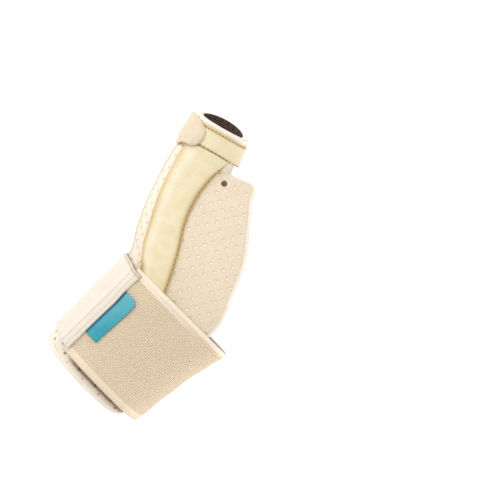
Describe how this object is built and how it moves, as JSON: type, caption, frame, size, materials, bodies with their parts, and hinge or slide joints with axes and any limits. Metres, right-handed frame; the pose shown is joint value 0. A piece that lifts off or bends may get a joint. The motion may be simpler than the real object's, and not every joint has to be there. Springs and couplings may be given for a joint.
{
  "type": "thumb spica splint",
  "caption": "Left-hand thumb spica splint: perforated wrap sleeve with a thumb tube, padded stay pocket, thumb band and wide elastic wrist strap with a hook tab, in its worn form.",
  "frame": {"origin": "the middle of the wrist, on the axis of the wrist opening and the strap's centre line", "axes": "+Z along the forearm towards the hand, -Y the palm side, +X the little-finger side, so the thumb leans towards -X"},
  "size_m": [0.1047, 0.0484, 0.1528],
  "materials": {
    "panel": "perforated foam laminated with matte cream knit",
    "plush": "brushed pale yellow loop plush",
    "tape": "smooth ivory woven tape",
    "elastic": "coarse woven beige elastic",
    "tag": "teal satin ribbon"
  },
  "bodies": {
    "root": {"palm_panel": "panel", "dorsal_panel": "panel", "stay_pocket": "plush", "thumb_band": "plush", "thumb_tab": "plush", "thumb_binding": "tape", "wrist_elastic": "elastic", "hook_tab": "tape", "side_tag": "tag"}
  },
  "joints": []
}
